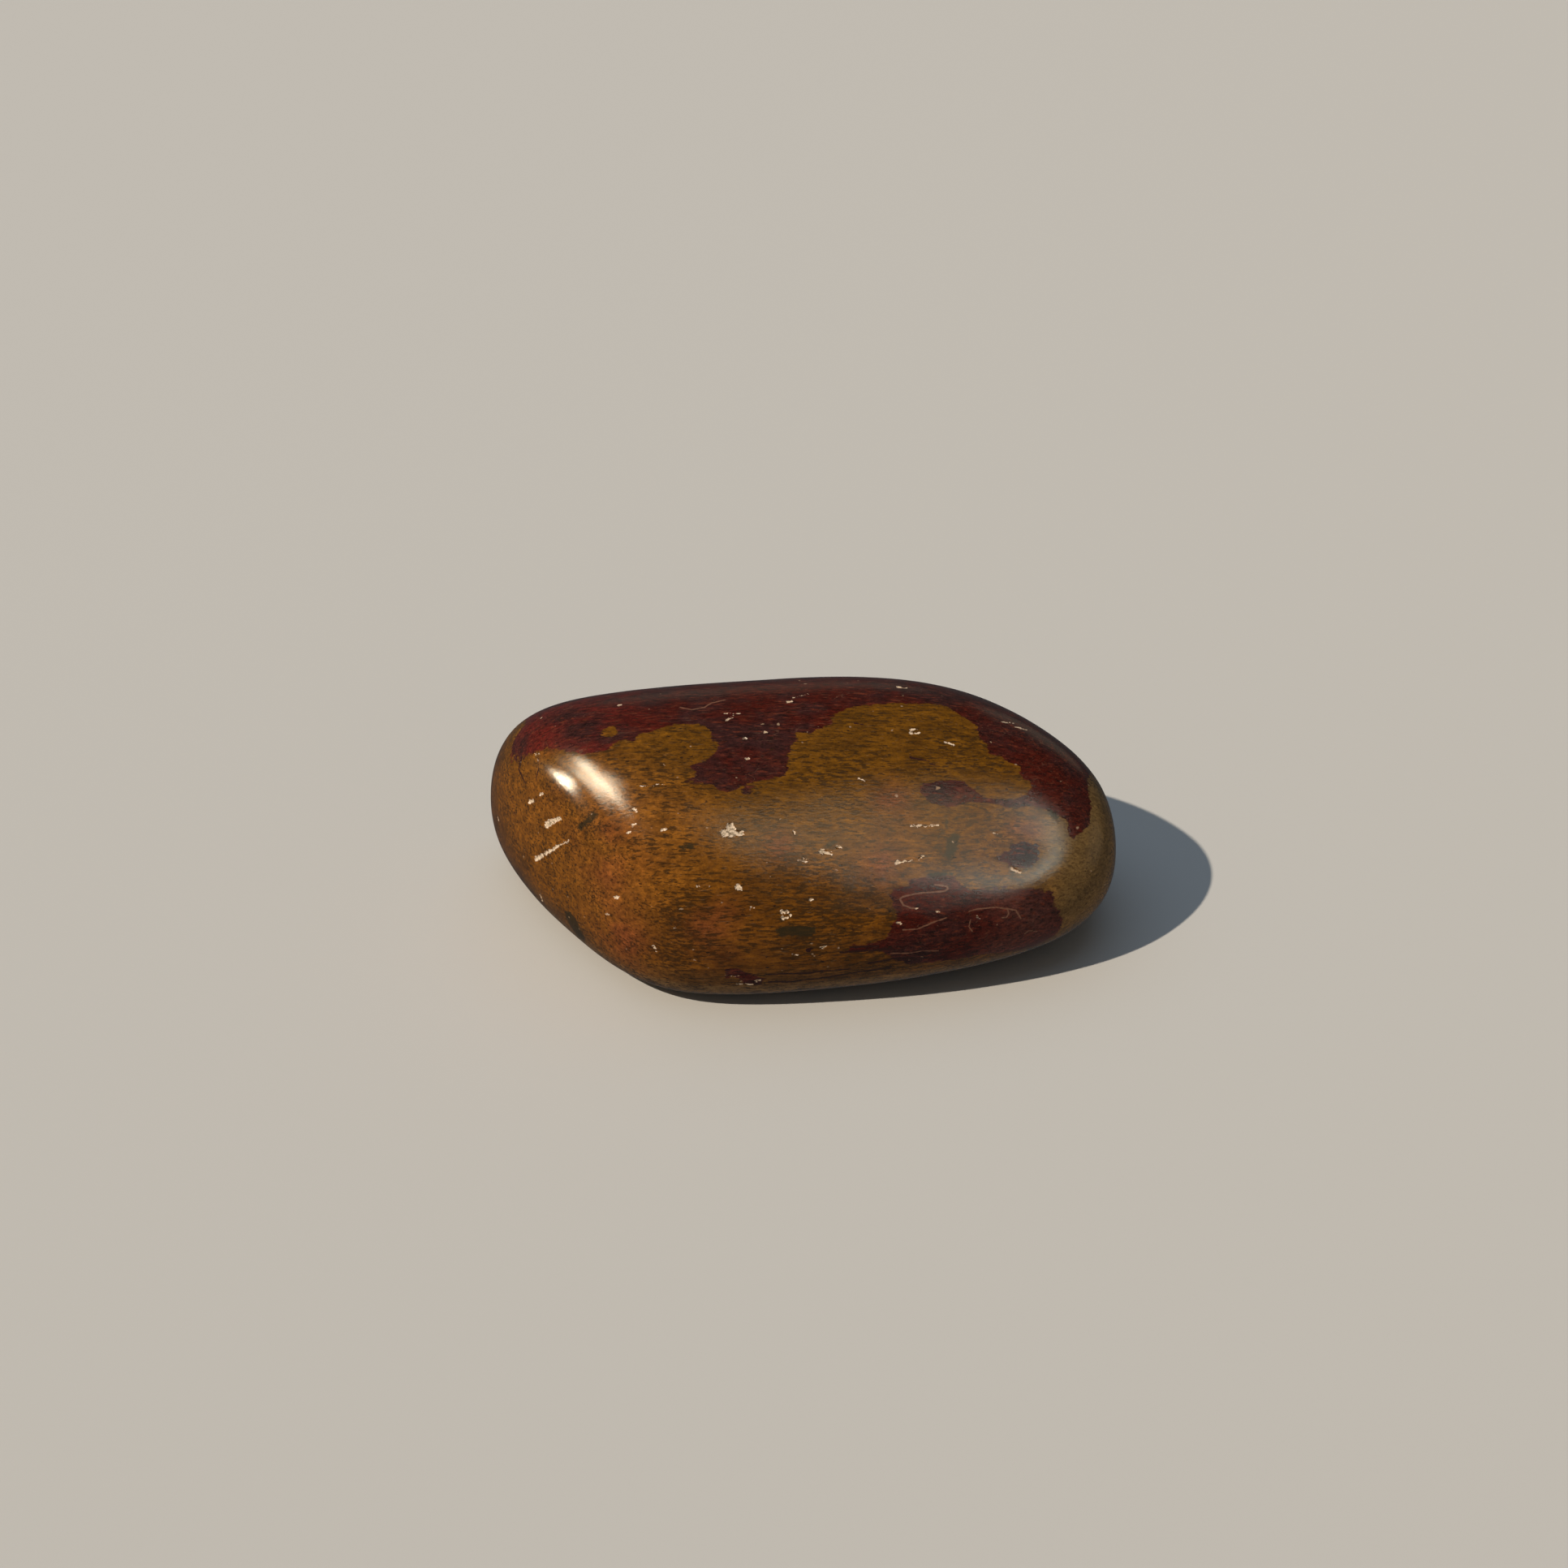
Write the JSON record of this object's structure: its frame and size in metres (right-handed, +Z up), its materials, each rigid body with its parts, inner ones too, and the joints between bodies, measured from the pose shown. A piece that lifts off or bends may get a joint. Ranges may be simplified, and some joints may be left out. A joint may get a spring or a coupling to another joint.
{
  "type": "tumbled bloodstone",
  "caption": "Long tumbled and polished bloodstone pebble, mustard-brown with maroon patches, resting on a worn flat.",
  "frame": {"origin": "middle of the footprint's box, on the surface that the stone lies on", "axes": "+X along the stone's length towards its rounder end, +Y away from the side that the picture shows, +Z up"},
  "size_m": [0.0628, 0.033, 0.0243],
  "materials": {
    "polished_stone": "glossy tumbled polish, mustard-brown with maroon patches and small pale chips"
  },
  "bodies": {
    "root": {"bloodstone": "polished_stone"}
  },
  "joints": []
}
